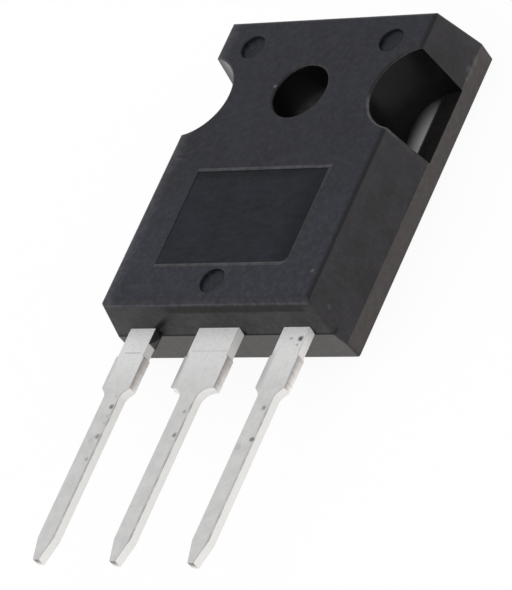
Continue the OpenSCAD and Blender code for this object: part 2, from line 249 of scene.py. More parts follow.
# Tin plate of the leads: slender and wide parts, clouds, streaks and mottles, grain, sides painted lighter
# partly as burnished tin and partly as light from the right, rounded edges with painted shade, worn spots and
# painted edge shade
TIN_SLENDER_TONE = 0.54
TIN_SLENDER_TINT = (1.0, 0.99, 0.985)
TIN_WIDE_TONE = 0.80
TIN_CLOUD_TONE = 0.74
TIN_CLOUD_TINT = (1.0, 1.0, 0.985)
TIN_STREAK_TONE = 0.45
TIN_GRAIN_TONE = 0.42
TIN_SIDE_TONE = 0.79
TIN_SIDE_TINT = (1.0, 0.98, 0.955)
TIN_EDGE_SHADE_TONE = 0.30
TIN_WEAR_AND_SHADE_TONE = 0.09
TIN_WEAR_AND_SHADE_TINT = (1.0, 0.93, 0.86)
# Sheared copper of the stubs and tips: back, front, stretch near the body, streaks, painted shade under the
# front edge, tip
CUT_BACK_TONE = 0.92
CUT_BACK_TINT = (1.0, 0.97, 0.94)
CUT_FRONT_TONE = 0.44
CUT_NEAR_BODY_TONE = 0.34
CUT_STREAK_TONE = 0.45
CUT_EDGE_SHADE_TONE = 0.26
CUT_TINT = (1.0, 0.92, 0.86)
CUT_TIP_TONE = 0.12
CUT_TIP_TINT = (1.0, 0.94, 0.90)
# Tinned tab: darker and lighter clouds, streaks
TAB_DARKER_TONE = 0.73
TAB_LIGHTER_TONE = 0.80
TAB_LIGHTER_TINT = (1.0, 1.0, 0.98)
TAB_STREAK_TONE = 0.60

# Dark film on the tab's faces in the notches, partly moulding and partly painted shade and reflection of the
# notch wall:
# the stretches over which it sets in or ends, two measured inwards from the body's side and two along the
# body, its tone, and the painted shade of these faces
FILM_SHADE_ASIDE = (1.12, 2.48)
FILM_SHADE_EDGE = (1.16, 1.25)
FILM_SHADE_Y = (-1.0, 2.6)
FILM_SHADE_END_Y = (1.55, 2.0)
FILM_SHADE_TONE = 0.012
NOTCH_SHADE = 0.31

# Floor and light
FLOOR_HALF = 1500
FLOOR_GAP = 0.02
FLOOR_PAINT = 0.97
FLOOR_GLOW_SHARE = 0.92
SKY_BASE = 0.60
SKY_HORIZON = 0.40
SKY_HORIZON_TOP = 0.5
SKY_LOBES = (
    # direction, where the lobe starts and is full as cosines, strength
    ((-0.65, 0.45, 0.61), 0.35, 0.95, 0.22),
    ((-0.65, -0.60, 0.45), 0.30, 0.95, 0.60),
    ((0.85, -0.25, 0.25), 0.20, 0.95, 0.45),
)


def add_camera():
    """Camera at the photograph's viewpoint."""
    data = bpy.data.cameras.new("camera")
    data.sensor_width = SENSOR_MM
    data.lens = FOCAL_LENGTH_PX * SENSOR_MM / IMAGE_HEIGHT_PX
    data.clip_start = CAMERA_NEAR * MM
    data.clip_end = CAMERA_FAR * MM
    camera = bpy.data.objects.new("camera", data)
    sight = (CAMERA_AIM - CAMERA_PLACE).normalized()
    upright = sight.to_track_quat("-Z", "Y")
    roll = Quaternion(sight, math.radians(CAMERA_ROLL_DEG))
    camera.rotation_mode = "QUATERNION"
    camera.rotation_quaternion = roll @ upright
    camera.location = CAMERA_PLACE * MM
    bpy.context.scene.collection.objects.link(camera)
    bpy.context.scene.camera = camera


class Nodes:
    """Short way to build a node tree: most methods add nodes, feed them and return an output socket."""

    # Shares of a spot's radius, of a smear's half width and of its length up to which it is full
    SPOT_CORE = 0.35
    SMEAR_CORE = 0.2
    SMEAR_FULL = 0.3

    def __init__(self, tree):
        self.tree = tree
        tree.nodes.clear()

    def add(self, kind, inputs=(), output=0, **settings):
        node = self.tree.nodes.new(kind)
        for key, value in settings.items():
            setattr(node, key, value)
        for key, value in dict(inputs).items():
            self.feed(node.inputs[key], value)
        return node.outputs[output]

    def feed(self, socket, value):
        if isinstance(value, bpy.types.NodeSocket):
            self.tree.links.new(value, socket)
        else:
            socket.default_value = value

    def finish(self, kind, shader):
        output = self.tree.nodes.new(kind)
        self.tree.links.new(shader, output.inputs["Surface"])

    def math(self, operation, a, b=0.0, c=0.0):
        return self.add("ShaderNodeMath", {0: a, 1: b, 2: c}, operation=operation)

    def times(self, first, *others):
        """Product of all the values."""
        product = first
        for value in others:
            product = self.math("MULTIPLY", product, value)
        return product

    def highest(self, values):
        top = values[0]
        for value in values[1:]:
            top = self.math("MAXIMUM", top, value)
        return top

    def vector(self, operation, a, b, output=0):
        return self.add("ShaderNodeVectorMath", {0: a, 1: b}, output, operation=operation)

    def axes(self, vector):
        node = self.tree.nodes.new("ShaderNodeSeparateXYZ")
        self.feed(node.inputs[0], vector)
        return node.outputs[0], node.outputs[1], node.outputs[2]

    def millimetres(self):
        """Place on the object, in millimetres."""
        place = self.add("ShaderNodeTexCoord", output="Object")
        return self.add("ShaderNodeVectorMath", {0: place, "Scale": 1 / MM}, operation="SCALE")

    def normal(self):
        """Three parts of the surface's direction."""
        return self.axes(self.add("ShaderNodeTexCoord", output="Normal"))

    def stretched(self, place, scale):
        """Place with each axis scaled on its own, for streaks."""
        return self.vector("MULTIPLY", place, scale)

    def noise(self, place, scale, detail=2.0, roughness=0.5):
        values = {"Vector": place, "Scale": scale, "Detail": detail, "Roughness": roughness}
        return self.add("ShaderNodeTexNoise", values)

    def noise_colour(self, place, scale):
        """Three noises in one, for offsets."""
        return self.add("ShaderNodeTexNoise", {"Vector": place, "Scale": scale, "Detail": 2.0}, "Color")

    def ramp(self, value, low, high, to_low=0.0, to_high=1.0):
        """Smooth step from to_low at low to to_high at high."""
        values = {0: value, 1: low, 2: high, 3: to_low, 4: to_high}
        return self.add("ShaderNodeMapRange", values, interpolation_type="SMOOTHSTEP")

    def band(self, value, low, high, fade):
        """1 between low and high, falling to 0 over fade outside them."""
        rise = self.ramp(value, low - fade, low)
        fall = self.ramp(value, high, high + fade, 1.0, 0.0)
        return self.times(rise, fall)

    def spot(self, place, centre, radius):
        """1 at a centre, falling to 0 at a radius."""
        away = self.vector("DISTANCE", place, centre, "Value")
        return self.ramp(away, self.SPOT_CORE * radius, radius, 1.0, 0.0)

    def smear(self, place, start, end, half_width):
        """1 along a stretch from start, fading towards end and to both sides."""
        start, end = Vector(start), Vector(end)
        way = (end - start).normalized()
        length = (end - start).length
        away = self.vector("SUBTRACT", place, start)
        along = self.vector("DOT_PRODUCT", away, way, "Value")
        on_line = self.add("ShaderNodeVectorMath", {0: way, "Scale": along}, operation="SCALE")
        aside = self.vector("DISTANCE", away, on_line, "Value")
        across = self.ramp(aside, self.SMEAR_CORE * half_width, half_width, 1.0, 0.0)
        ahead = self.ramp(along, self.SMEAR_FULL * length, length, 1.0, 0.0)
        behind = self.ramp(along, -half_width, 0.0)
        return self.times(across, ahead, behind)

    def blend(self, share, first, second):
        """Colour that goes from first to second."""
        node = self.tree.nodes.new("ShaderNodeMix")
        node.data_type = "RGBA"
        for name, value in (("Factor_Float", share), ("A_Color", first), ("B_Color", second)):
            self.feed(next(s for s in node.inputs if s.identifier == name), value)
        return next(s for s in node.outputs if s.identifier == "Result_Color")

    def bump(self, height, depth):
        return self.add("ShaderNodeBump", {"Strength": 1.0, "Distance": depth * MM, "Height": height})


def new_material(name):
    """Material with an empty node tree, and the helper that fills it."""
    material = bpy.data.materials.new(name)
    material.use_nodes = True
    return material, Nodes(material.node_tree)


def grey(value, tint=(1, 1, 1)):
    return (value * tint[0], value * tint[1], value * tint[2], 1)


def add_floor():
    """White floor that keeps the object's shadow. It is clear from below, so that the back can be seen."""
    half = FLOOR_HALF * MM
    low = -FLOOR_GAP * MM
    mesh = bpy.data.meshes.new("floor")
    corners = [(-half, -half, low), (half, -half, low), (half, half, low), (-half, half, low)]
    mesh.from_pydata(corners, [], [(0, 1, 2, 3)])
    floor = bpy.data.objects.new("floor", mesh)
    bpy.context.scene.collection.objects.link(floor)
    material, nodes = new_material("floor_white")
    paint = nodes.add("ShaderNodeBsdfDiffuse", {"Color": grey(FLOOR_PAINT)})
    glow = nodes.add("ShaderNodeEmission", {"Color": grey(1.0), "Strength": 1.0})
    kinds = ("Camera", "Glossy", "Transmission")
    rays = [nodes.add("ShaderNodeLightPath", output=f"Is {kind} Ray") for kind in kinds]
    share = nodes.times(nodes.highest(rays), FLOOR_GLOW_SHARE)
    upper_side = nodes.add("ShaderNodeMixShader", {0: share, 1: paint, 2: glow})
    lower_side = nodes.add("ShaderNodeBsdfTransparent")
    seen_from_below = nodes.add("ShaderNodeNewGeometry", output="Backfacing")
    sides = {0: seen_from_below, 1: upper_side, 2: lower_side}
    nodes.finish("ShaderNodeOutputMaterial", nodes.add("ShaderNodeMixShader", sides))
    mesh.materials.append(material)


def add_light():
    """Soft studio light: a pale room with a bright horizon and soft windows on both sides."""
    world = bpy.data.worlds.new("studio")
    world.use_nodes = True
    bpy.context.scene.world = world
    nodes = Nodes(world.node_tree)
    way = nodes.add("ShaderNodeTexCoord", output="Generated")
    height = nodes.axes(way)[2]
    sky = nodes.math("ADD", SKY_BASE, nodes.ramp(height, 0.0, SKY_HORIZON_TOP, SKY_HORIZON, 0.0))
    for direction, start, full, strength in SKY_LOBES:
        cosine = nodes.vector("DOT_PRODUCT", way, Vector(direction).normalized(), "Value")
        sky = nodes.math("ADD", sky, nodes.ramp(cosine, start, full, 0.0, strength))
    seen = nodes.add("ShaderNodeLightPath", output="Is Camera Ray")
    sky = nodes.math("ADD", nodes.times(sky, nodes.math("SUBTRACT", 1.0, seen)), seen)
    background = nodes.add("ShaderNodeBackground", {"Color": grey(1.0), "Strength": sky})
    nodes.finish("ShaderNodeOutputWorld", background)


def moulding(
    name, tone, tint, specular, roughness, grain_depth,
    mottling=1.0, streaking=0.0, darkening=None, lightening=None, tab_end_share=1.0,
):
    """Filled epoxy moulding compound: fine grain, mottled tone, neutral rounded edges and a few pale specks.
    mottling and streaking are the strengths of the spots and of the streaks across the body.
    darkening and lightening are functions that add nodes and return where the surface is dark and where it is
    pale, partly as painted shade and painted highlights.
    tab_end_share is the tone at the tab end as a share of that at the lead end."""
    material, nodes = new_material(name)
    place = nodes.millimetres()
    normal_x, normal_y, normal_z = nodes.normal()
    cloud = nodes.noise(place, CLOUD_SCALE, 3.0)
    mottle = nodes.noise(place, MOTTLE_SCALE, 3.0, 0.6)
    grain = nodes.noise(place, GRAIN_SCALE, 3.0, 0.6)

    # Base and pale spots get tints that leave one hue once the neutral gloss is added
    deep_tint = tuple(part ** 2 for part in tint)
    pale_tint = tuple(math.sqrt(part) for part in tint)
    darker, lighter = (grey(share * tone, deep_tint) for share in BASE_SHARES)
    colour = nodes.blend(nodes.ramp(cloud, 0.3, 0.7), darker, lighter)
    mottles = nodes.ramp(mottle, 0.35, 0.75, 0.0, MOTTLE_STRENGTH * mottling)
    colour = nodes.blend(mottles, colour, grey(MOTTLE_SHARE * tone, pale_tint))
    grains = nodes.ramp(grain, 0.35, 0.75, 0.0, GRAIN_STRENGTH * mottling)
    colour = nodes.blend(grains, colour, grey(GRAIN_SHARE * tone, pale_tint))
    if streaking:
        streak = nodes.noise(nodes.stretched(place, STREAK_SCALES), 1.0, 3.0)
        streaks = nodes.ramp(streak, 0.35, 0.7, 0.0, streaking)
        colour = nodes.blend(streaks, colour, grey(STREAK_SHARE * tone, tint))
    fade = nodes.ramp(nodes.axes(place)[1], *FADE_Y, 0.0, 1.0 - tab_end_share)
    colour = nodes.blend(fade, colour, grey(0.0))

    # Rounded edges: neutral, with painted shade along the right side and a painted highlight along the lead
    # end
    rounded = nodes.band(normal_z, *EDGE_NORMAL_Z, 0.04)
    colour = nodes.blend(nodes.times(rounded, EDGE_STRENGTH), colour, grey(EDGE_SHARE * tone, EDGE_TINT))
    at_right = nodes.ramp(normal_x, 0.2, 0.5, 0.0, SHADED_STRENGTH)
    shaded = nodes.times(nodes.band(normal_z, *SHADED_NORMAL_Z, 0.14), at_right)
    colour = nodes.blend(shaded, colour, grey(SHADED_SHARE * tone, SHADED_TINT))
    at_lead_end = nodes.ramp(normal_y, -0.90, -0.20, EDGE_HIGHLIGHT_STRENGTH, 0.0)
    wear_and_painted_light = nodes.times(rounded, at_lead_end, nodes.ramp(mottle, 0.35, 0.6))
    colour = nodes.blend(wear_and_painted_light, colour, grey(EDGE_HIGHLIGHT_SHARE * tone, EDGE_HIGHLIGHT_TINT))

    # Specks, then pale places, partly painted highlights, and dark places, partly painted shade
    speck = nodes.ramp(nodes.noise(place, SPECK_SCALE, 1.0), 0.76, 0.80)
    colour = nodes.blend(nodes.times(speck, SPECK_STRENGTH), colour, grey(SPECK_SHARE * tone, tint))
    if lightening:
        colour = nodes.blend(nodes.times(lightening(nodes, place), mottle), colour, grey(PALE_TONE))
    rough = nodes.ramp(grain, 0.3, 0.7, roughness - ROUGHNESS_SPREAD, roughness + ROUGHNESS_SPREAD)
    if darkening:
        mask = darkening(nodes, place)
        colour = nodes.blend(mask, colour, grey(DARKENING_TONE))
        rough = nodes.math("MULTIPLY_ADD", mask, DARKENING_ROUGHNESS, rough)
    shader = nodes.add("ShaderNodeBsdfPrincipled", {
        "Base Color": colour,
        "Roughness": rough,
        "Specular IOR Level": specular,
        "Normal": nodes.bump(grain, grain_depth),
    })
    nodes.finish("ShaderNodeOutputMaterial", shader)
    return material


def notch_rim_highlight(nodes, x, y, z):
    """Painted highlight on the lower rim of the right-hand notch, strongest at the front face."""
    aside = nodes.math("SUBTRACT", x, BODY_HIGH.x)
    along = nodes.math("SUBTRACT", y, NOTCH_Y)
    away = nodes.math("SQRT", nodes.math("MULTIPLY_ADD", aside, aside, nodes.times(along, along)))
    return nodes.times(
        nodes.band(away, NOTCH_FRONT_R - 0.02, NOTCH_FRONT_R + 0.10, 0.05),
        nodes.ramp(along, -1.0, -0.2, NOTCH_RIM_HIGHLIGHT, 0.0),
        nodes.ramp(z, BODY_HIGH.z - 1.2, BODY_HIGH.z - 0.2, 0.12, 1.0),
        nodes.ramp(z, PARTING_Z, PARTING_Z + 0.3),
    )


def pale_front_margins(nodes, x, y, z):
    """Painted highlight along the left margin of the front and the paler tab-end margin, fading down the
    walls.
    """
    left = nodes.ramp(x, *LEFT_MARGIN_X, LEFT_MARGIN_HIGHLIGHT, 0.0)
    tab_end = nodes.ramp(y, *TAB_MARGIN_Y, 0.0, TAB_MARGIN_WEAR)
    near_front = nodes.ramp(z, BODY_HIGH.z - 0.6, BODY_HIGH.z - 0.1, 0.3, 1.0)
    return nodes.times(nodes.highest([left, tab_end]), near_front)


def thin_flash(nodes, y, z):
    """Thin pale corner of the flash beside the gate lead: what lies below a line that rises outwards."""
    out = nodes.math("DIVIDE", nodes.math("SUBTRACT", LEAD_END_Y, y), FLASH_L)
    line_z = nodes.math("MULTIPLY_ADD", out, LEAD_TOP - LEAD_BOTTOM, LEAD_BOTTOM)
    below = nodes.ramp(nodes.math("SUBTRACT", line_z, z), 0.0, 0.15)
    return nodes.times(below, nodes.ramp(out, 0.05, 0.15, 0.0, FLASH_WEAR))


def pale_places_and_highlights(nodes, place):
    """Pale places of the moulding's outside: painted highlights on notch rim and left margin, flash, chips,
    scuffs, tab end.
    """
    x, y, z = nodes.axes(place)
    masks = [notch_rim_highlight(nodes, x, y, z), thin_flash(nodes, y, z), pale_front_margins(nodes, x, y, z)]
    for centre, radius, strength in PALE_SPOTS:
        masks.append(nodes.times(nodes.spot(place, centre, radius), strength))
    for scuff in PALE_SCUFFS:
        masks.append(nodes.times(nodes.smear(place, *scuff), SCUFF_WEAR))
    return nodes.highest(masks)


def hole_painted_light(nodes, place):
    """Painted light on the deep part of the screw hole's wall."""
    return nodes.ramp(nodes.axes(place)[2], *HOLE_GLOW_Z, HOLE_GLOW, 0.0)


def rim_row_highlights(nodes, place):
    """Painted highlights on the marking field's rim where it runs across the body."""
    y = nodes.axes(place)[1]
    upper = nodes.band(y, FIELD_HIGH_Y, FIELD_HIGH_Y + RIM_W, 0.03)
    lower = nodes.band(y, FIELD_LOW_Y - RIM_W, FIELD_LOW_Y, 0.03)
    return nodes.times(nodes.highest([upper, lower]), RIM_ROW_HIGHLIGHT)


def wall_smear_and_painted_shade(nodes, place):
    """Smear, painted contact shadows, and painted shade along the parting line and under the front edge of
    the lead-end wall.
    """
    x, y, z = nodes.axes(place)
    behind_end = nodes.math("SUBTRACT", y, LEAD_END_Y)
    behind_wall = nodes.math("SUBTRACT", behind_end, nodes.times(z, WALL_SLOPE))
    on_wall = nodes.ramp(behind_wall, 0.05, 0.10, 1.0, 0.0)
    line = nodes.times(nodes.band(z, LEAD_BOTTOM, LEAD_BOTTOM + 0.08, 0.12), on_wall, SHADE_STRENGTH)
    at_edge = nodes.band(z, BODY_HIGH.z - 0.72, BODY_HIGH.z - 0.44, 0.22)
    under_edge = nodes.times(at_edge, on_wall, nodes.band(x, *EDGE_SHADE_X, 1.0), SHADE_STRENGTH)
    smears = [nodes.smear(place, *darkening) for darkening in WALL_SMEAR_AND_SHADOWS]
    return nodes.highest([line, under_edge, *smears])


def field_shade(nodes, place):
    """The marking field's darker right-hand margin and tab-end margin."""
    x, y = nodes.axes(place)[:2]
    right = nodes.ramp(x, FIELD_HALF_W - 1.8, FIELD_HALF_W, 0.0, 0.4)
    tab_end = nodes.ramp(y, FIELD_HIGH_Y - 1.0, FIELD_HIGH_Y, 0.0, 0.35)
    return nodes.highest([right, tab_end])


def lead_wear_and_shade(nodes, place, cloud):
    """Dark places of the leads' front faces: specks, lines, and painted shade on rolled-over stub edges and
    right edges.
    """
    x, y, z = nodes.axes(place)
    shift = nodes.stretched(nodes.noise_colour(place, 7.0), (SPOT_SHIFT, SPOT_SHIFT, 0.0))
    ragged = nodes.vector("ADD", place, shift)
    mean_shift = Vector((SPOT_SHIFT / 2, SPOT_SHIFT / 2, 0.0))
    masks = []
    for spot_x, spot_y, radius, darkness in WEAR_SPOTS:
        centre = Vector((spot_x, spot_y, LEAD_TOP)) + mean_shift
        masks.append(nodes.times(nodes.spot(ragged, centre, radius), darkness))
    for first, last, line_y, darkness in WEAR_LINES:
        across = nodes.band(x, first, last, 0.1)
        along = nodes.band(y, line_y - WEAR_LINE_HALF_W, line_y + WEAR_LINE_HALF_W, 0.04)
        masks.append(nodes.times(across, along, darkness))
    for node, half_width, darkness in ROLLOVER_SHADES:
        edge_x = LEAD_X[node] - STUB_X[node] + 0.05
        start = (edge_x, STUB_HIGH_Y, LEAD_TOP)
        end = (edge_x, STUB_LOW_Y - 0.9, LEAD_TOP)
        masks.append(nodes.times(nodes.smear(place, start, end, half_width), darkness))
    on_slender = nodes.ramp(y, STUB_LOW_Y - 1.2, STUB_LOW_Y - 0.8, 1.0, 0.0)
    right_edge_shading = nodes.times(on_slender, nodes.ramp(cloud, 0.35, 0.65, 0.05, 0.30))
    for lead_x in LEAD_X.values():
        beside = nodes.band(x, lead_x + RIGHT_EDGE_SHADE[0], lead_x + RIGHT_EDGE_SHADE[1], 0.08)
        masks.append(nodes.times(beside, right_edge_shading))
    on_front = nodes.ramp(z, LEAD_TOP - 0.1, LEAD_TOP - 0.05)
    return nodes.times(nodes.highest(masks), on_front)


def tin_material():
    """Matte tin plate on rolled copper, with rolling streaks, smudges and wear, and painted light and shade
    at sides and edges.
    """
    material, nodes = new_material("tin_plate")
    place = nodes.millimetres()
    y = nodes.axes(place)[1]
    facing = nodes.normal()[2]
    cloud = nodes.noise(place, 1.4, 3.0)
    streak = nodes.noise(nodes.stretched(place, (14.0, 0.9, 14.0)), 1.0, 2.0)
    mottle = nodes.noise(place, 5.0, 2.0)
    grain = nodes.noise(place, 12.0, 2.0)
    wear_and_painted_light = lead_wear_and_shade(nodes, place, cloud)
    to_body = nodes.ramp(y, STUB_LOW_Y - 1.0, LEAD_END_Y)
    tone = nodes.blend(to_body, grey(TIN_SLENDER_TONE, TIN_SLENDER_TINT), grey(TIN_WIDE_TONE))
    tone = nodes.blend(nodes.ramp(cloud, 0.3, 0.7, 0.0, 0.3), tone, grey(TIN_CLOUD_TONE, TIN_CLOUD_TINT))
    tone = nodes.blend(nodes.ramp(streak, 0.45, 0.75, 0.0, 0.16), tone, grey(TIN_STREAK_TONE))
    tone = nodes.blend(nodes.ramp(mottle, 0.45, 0.75, 0.0, 0.25), tone, grey(TIN_STREAK_TONE))
    tone = nodes.blend(nodes.ramp(grain, 0.5, 0.75, 0.0, 0.15), tone, grey(TIN_GRAIN_TONE))
    # Side faces lighter: partly burnished tin, partly painted light from the right
    on_sides = nodes.ramp(facing, 0.1, 0.4, 1.0, 0.0)
    tone = nodes.blend(on_sides, tone, grey(TIN_SIDE_TONE, TIN_SIDE_TINT))
    # Painted shade on the rounded edges between the top and the sides, where they reflect dark surroundings
    edge = nodes.times(nodes.band(facing, 0.40, 0.85, 0.1), nodes.ramp(cloud, 0.25, 0.55), 0.7)
    tone = nodes.blend(edge, tone, grey(TIN_EDGE_SHADE_TONE))
    tone = nodes.blend(wear_and_painted_light, tone, grey(TIN_WEAR_AND_SHADE_TONE, TIN_WEAR_AND_SHADE_TINT))
    shader = nodes.add("ShaderNodeBsdfPrincipled", {
        "Base Color": tone,
        "Metallic": 0.15,
        "Roughness": nodes.ramp(streak, 0.3, 0.7, 0.42, 0.52),
        "Specular IOR Level": 0.5,
        "Normal": nodes.bump(nodes.math("SUBTRACT", grain, wear_and_painted_light), 0.004),
    })
    nodes.finish("ShaderNodeOutputMaterial", shader)
    return material


def cut_material():
    """Sheared copper: smeared and dark at the front, torn and paler at the back, upright streaks, painted
    shade at the front edge.
    """
    material, nodes = new_material("sheared_copper")
    place = nodes.millimetres()
    y, z = nodes.axes(place)[1:]
    streak = nodes.noise(nodes.stretched(place, (6.0, 6.0, 1.2)), 1.0, 3.0)
    height = nodes.math("MULTIPLY_ADD", nodes.math("SUBTRACT", streak, 0.5), 0.25, z)
    upper = nodes.ramp(height, LEAD_BOTTOM, LEAD_TOP)
    tone = nodes.blend(upper, grey(CUT_BACK_TONE, CUT_BACK_TINT), grey(CUT_FRONT_TONE, CUT_TINT))
    near_body = nodes.ramp(y, STUB_LOW_Y + 0.3, STUB_HIGH_Y, 0.0, 0.4)
    tone = nodes.blend(near_body, tone, grey(CUT_NEAR_BODY_TONE, CUT_TINT))
    tone = nodes.blend(nodes.ramp(streak, 0.45, 0.75, 0.0, 0.35), tone, grey(CUT_STREAK_TONE, CUT_TINT))
    # Painted shade of the rolled-over rim along the front edge
    at_front = nodes.ramp(height, LEAD_TOP - 0.14, LEAD_TOP - 0.06, 0.0, 0.5)
    tone = nodes.blend(at_front, tone, grey(CUT_EDGE_SHADE_TONE, CUT_TINT))
    at_tip = nodes.ramp(y, TIP_Y + 0.2, TIP_Y + 0.4, 0.75, 0.0)
    tone = nodes.blend(nodes.times(at_tip, upper), tone, grey(CUT_TIP_TONE, CUT_TIP_TINT))
    shader = nodes.add("ShaderNodeBsdfPrincipled", {
        "Base Color": tone,
        "Metallic": 0.15,
        "Roughness": 0.55,
        "Normal": nodes.bump(streak, 0.012),
    })
    nodes.finish("ShaderNodeOutputMaterial", shader)
    return material


def tab_material():
    """Tinned faces of the tab, with fine rolled grain; those in the notches get painted shade and a dark
    film, partly moulding.
    """
    material, nodes = new_material("tab_plate")
    place = nodes.millimetres()
    x, y, z = nodes.axes(place)
    cloud = nodes.noise(place, 0.8, 4.0)
    streak = nodes.noise(nodes.stretched(place, (10.0, 0.6, 10.0)), 1.0, 3.0)
    aside = nodes.math("SUBTRACT", BODY_HIGH.x, nodes.math("ABSOLUTE", x))
    in_notch = nodes.ramp(z, TAB_TOP - 0.3, TAB_TOP - 0.2)
    clear = nodes.times(
        nodes.ramp(aside, *FILM_SHADE_ASIDE, 1.0, 0.0),
        nodes.ramp(y, *FILM_SHADE_Y, 1.0, 0.0),
        nodes.ramp(aside, *FILM_SHADE_EDGE),
        nodes.ramp(y, *FILM_SHADE_END_Y, 1.0, 0.0),
    )
    film_and_shade = nodes.times(nodes.math("SUBTRACT", 1.0, clear), in_notch)
    lighter = grey(TAB_LIGHTER_TONE, TAB_LIGHTER_TINT)
    tone = nodes.blend(nodes.ramp(cloud, 0.3, 0.7), grey(TAB_DARKER_TONE), lighter)
    tone = nodes.blend(nodes.ramp(streak, 0.45, 0.8, 0.0, 0.35), tone, grey(TAB_STREAK_TONE))
    # Painted shade over the tab's faces in the notches
    tone = nodes.blend(nodes.times(in_notch, NOTCH_SHADE), tone, grey(0.0))
    tone = nodes.blend(film_and_shade, tone, grey(FILM_SHADE_TONE))
    shader = nodes.add("ShaderNodeBsdfPrincipled", {
        "Base Color": tone,
        "Metallic": 0.3,
        "Roughness": nodes.ramp(streak, 0.3, 0.7, 0.36, 0.5),
        "Normal": nodes.bump(streak, 0.003),
    })
    nodes.finish("ShaderNodeOutputMaterial", shader)
    return material


def plain_metal(name, tone, roughness):
    """Metal with a slightly cloudy tone and a fine grain."""
    material, nodes = new_material(name)
    place = nodes.millimetres()
    cloud = nodes.noise(place, 2.0, 3.0)
    grain = nodes.noise(place, 20.0, 2.0)
    darker = tuple(0.85 * part for part in tone[:3]) + (1,)
    shader = nodes.add("ShaderNodeBsdfPrincipled", {
        "Base Color": nodes.blend(cloud, darker, tone),
        "Metallic": 1.0,
        "Roughness": nodes.ramp(grain, 0.3, 0.7, roughness - 0.05, roughness + 0.05),
        "Normal": nodes.bump(grain, 0.002),
    })
    nodes.finish("ShaderNodeOutputMaterial", shader)
    return material


def add_piece(name, mesh, node=None):
    """Object for a mesh in the row frame, which rides on the part and may stand for a CAD node."""
    piece = bpy.data.objects.new(name, mesh)
    bpy.context.scene.collection.objects.link(piece)
    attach(piece, "root")
    if node:
        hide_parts(node)
    return piece


def give_finishes(mesh, materials, finish_of):
    """Gives each face the material that finish_of names for its centre in millimetres and its normal."""
    mesh.materials.clear()
    for material in materials:
        mesh.materials.append(material)
    index = {material.name: i for i, material in enumerate(materials)}
    for face in mesh.polygons:
        face.material_index = index[finish_of(face.center / MM, face.normal)]


def mould_finishes_and_shades():
    """Finishes of the moulding: outside faces, notch pockets and ledge, screw hole, marks, marking field.
    Partly these are lit and shaded copies of one compound: sides and lead end painted lighter than the front,
    the lower half glossier partly as a smoother finish and partly as painted reflection, pockets, ledge and
    hole painted dark as shade, and the left pocket's stronger gloss a painted reflection.
    """
    return [
        moulding(
            "mould_front", tone=0.0145, tint=(0.85, 0.91, 1.36), specular=0.22, roughness=0.52,
            grain_depth=0.010, mottling=0.95, lightening=pale_places_and_highlights, tab_end_share=0.66,
        ),
        moulding(
            "mould_side", tone=0.0225, tint=(1.04, 0.97, 1.05), specular=0.25, roughness=0.52,
            grain_depth=0.006, mottling=0.3, darkening=wall_smear_and_painted_shade, lightening=pale_places_and_highlights,
        ),
        moulding(
            "mould_back", tone=0.015, tint=(1.15, 0.80, 0.66), specular=0.42, roughness=0.36,
            grain_depth=0.006, lightening=pale_places_and_highlights,
        ),
        moulding(
            "mould_pocket", tone=0.0045, tint=POCKET_TINT, specular=0.15, roughness=0.36,
            grain_depth=0.003, mottling=0.3,
        ),
        moulding(
            "mould_ledge", tone=0.0085, tint=POCKET_TINT, specular=0.16, roughness=0.45,
            grain_depth=0.006, mottling=0.5,
        ),
        moulding(
            "mould_hole", tone=0.003, tint=POCKET_TINT, specular=0.16, roughness=0.36,
            grain_depth=0.003, mottling=0.3, lightening=hole_painted_light,
        ),
        moulding(
            "mould_pocket_left", tone=0.004, tint=POCKET_TINT, specular=0.50, roughness=0.25,
            grain_depth=0.003, mottling=0.3,
        ),
        moulding(
            "mould_end", tone=0.0245, tint=(1.03, 0.98, 1.02), specular=0.25, roughness=0.52,
            grain_depth=0.010, mottling=0.5, darkening=wall_smear_and_painted_shade, lightening=pale_places_and_highlights,
        ),
        moulding(
            "mould_mark", tone=0.0105, tint=(0.82, 0.96, 1.36), specular=0.16, roughness=0.45,
            grain_depth=0.020, mottling=1.3, tab_end_share=0.75,
        ),
        moulding(
            "mould_field", tone=0.0077, tint=(0.76, 0.96, 1.40), specular=0.12, roughness=0.45,
            grain_depth=0.008, mottling=0.6, streaking=0.28, darkening=field_shade,
        ),
    ]


def mould_finish(centre, normal):
    """Name of the finish of one face of the moulding; pocket, ledge and hole faces get painted shade."""
    flat = Vector((centre.x, centre.y))
    to_axis = Vector((math.copysign(BODY_HIGH.x, centre.x), NOTCH_Y)) - flat
    at_notch_height = TAB_TOP - NEAR < centre.z < BODY_HIGH.z - NOTCH_EDGE_DEPTH
    in_notch = to_axis.length < NOTCH_FRONT_R and at_notch_height
    if in_notch and centre.z < TAB_TOP + NEAR:
        return "mould_ledge"
    faces_axis = Vector((normal.x, normal.y)).dot(to_axis.normalized()) > FACING
    if in_notch and faces_axis:
        return "mould_pocket" if centre.x > 0 else "mould_pocket_left"
    if flat.length < HOLE_R + NEAR and abs(normal.z) < UPRIGHT:
        return "mould_hole"
    in_mark = any((flat - place).length < MARK_R + 2 * NEAR for place in MARK_PLACES)
    if in_mark and centre.z < BODY_HIGH.z - MARK_EDGE_DEPTH:
        return "mould_mark"
    in_field = abs(centre.x) < FIELD_HALF_W and FIELD_LOW_Y < centre.y < FIELD_HIGH_Y
    if in_field and abs(centre.z - FIELD_FLOOR) < FIELD_TOLERANCE and normal.z > FACING_UP:
        return "mould_field"
    if normal.z < FACING_DOWN or centre.z < PARTING_Z:
        return "mould_back"
    if normal.z > FACING:
        return "mould_front"
    return "mould_end" if normal.y < -FACING and centre.y < FIELD_LOW_Y else "mould_side"


